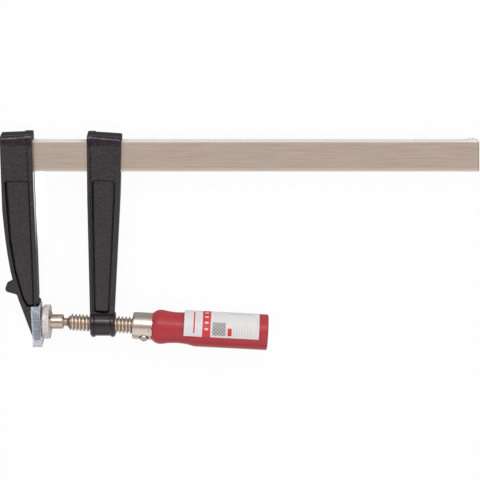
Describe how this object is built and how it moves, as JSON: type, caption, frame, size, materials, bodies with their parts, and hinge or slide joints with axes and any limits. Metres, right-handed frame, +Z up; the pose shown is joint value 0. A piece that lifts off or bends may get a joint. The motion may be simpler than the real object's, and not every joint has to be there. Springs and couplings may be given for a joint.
{
  "type": "bar clamp",
  "caption": "Bar clamp with a serrated steel bar, cast arms, a threaded spindle, a swivel pad and a red wooden handle.",
  "frame": {"origin": "centre of the fixed jaw's contact face", "axes": "+X along the bar, from the fixed arm to the bar's open end; +Y from the spindle to the bar; +Z up through the clamp's thickness, as it lies on its side"},
  "size_m": [0.3855, 0.1923, 0.0302],
  "materials": {
    "bar_steel": "satin",
    "cast_paint": "satin",
    "cap_plastic": "satin",
    "screw_steel": "satin",
    "pad_steel": "satin",
    "spring_steel": "satin",
    "ferrule_steel": "satin",
    "pin_steel": "satin",
    "red_lacquer": "gloss",
    "label_paper": "matte"
  },
  "bodies": {
    "bar": {"bar": "bar_steel", "fixed_arm": "cast_paint", "fixed_jaw_cap": "cap_plastic"},
    "sliding_arm": {"sliding_arm": "cast_paint"},
    "screw_carriage": {"pad_retaining_ring": "spring_steel"},
    "spindle": {"spindle": "screw_steel", "ferrule": "ferrule_steel", "cross_pin": "pin_steel", "handle": "red_lacquer", "label": "label_paper"},
    "pad": {"swivel_pad": "pad_steel", "swivel_pad_cap": "cap_plastic"}
  },
  "joints": [
    {"name": "arm_slide", "type": "slide", "parent": "bar", "child": "sliding_arm", "axis": [1, 0, 0], "range_m": [0, 0.2745]},
    {"name": "screw_feed", "type": "slide", "parent": "sliding_arm", "child": "screw_carriage", "axis": [0.9983, -0.0576, 0], "range_m": [0, 0.018]},
    {"name": "screw_turn", "type": "hinge", "parent": "screw_carriage", "child": "spindle", "pos_m": [0.0134, 0, 0], "axis": [0.9983, -0.0576, 0], "range_deg": [0, 2160]},
    {"name": "pad_tilt", "type": "hinge", "parent": "screw_carriage", "child": "pad", "pos_m": [0.0134, 0, 0], "axis": [0, 0, 1], "range_deg": [-5, 5]}
  ],
  "couplings": [
    {"joint": "screw_feed", "follows": "screw_turn", "m_per_rad": 0.00047746}
  ]
}
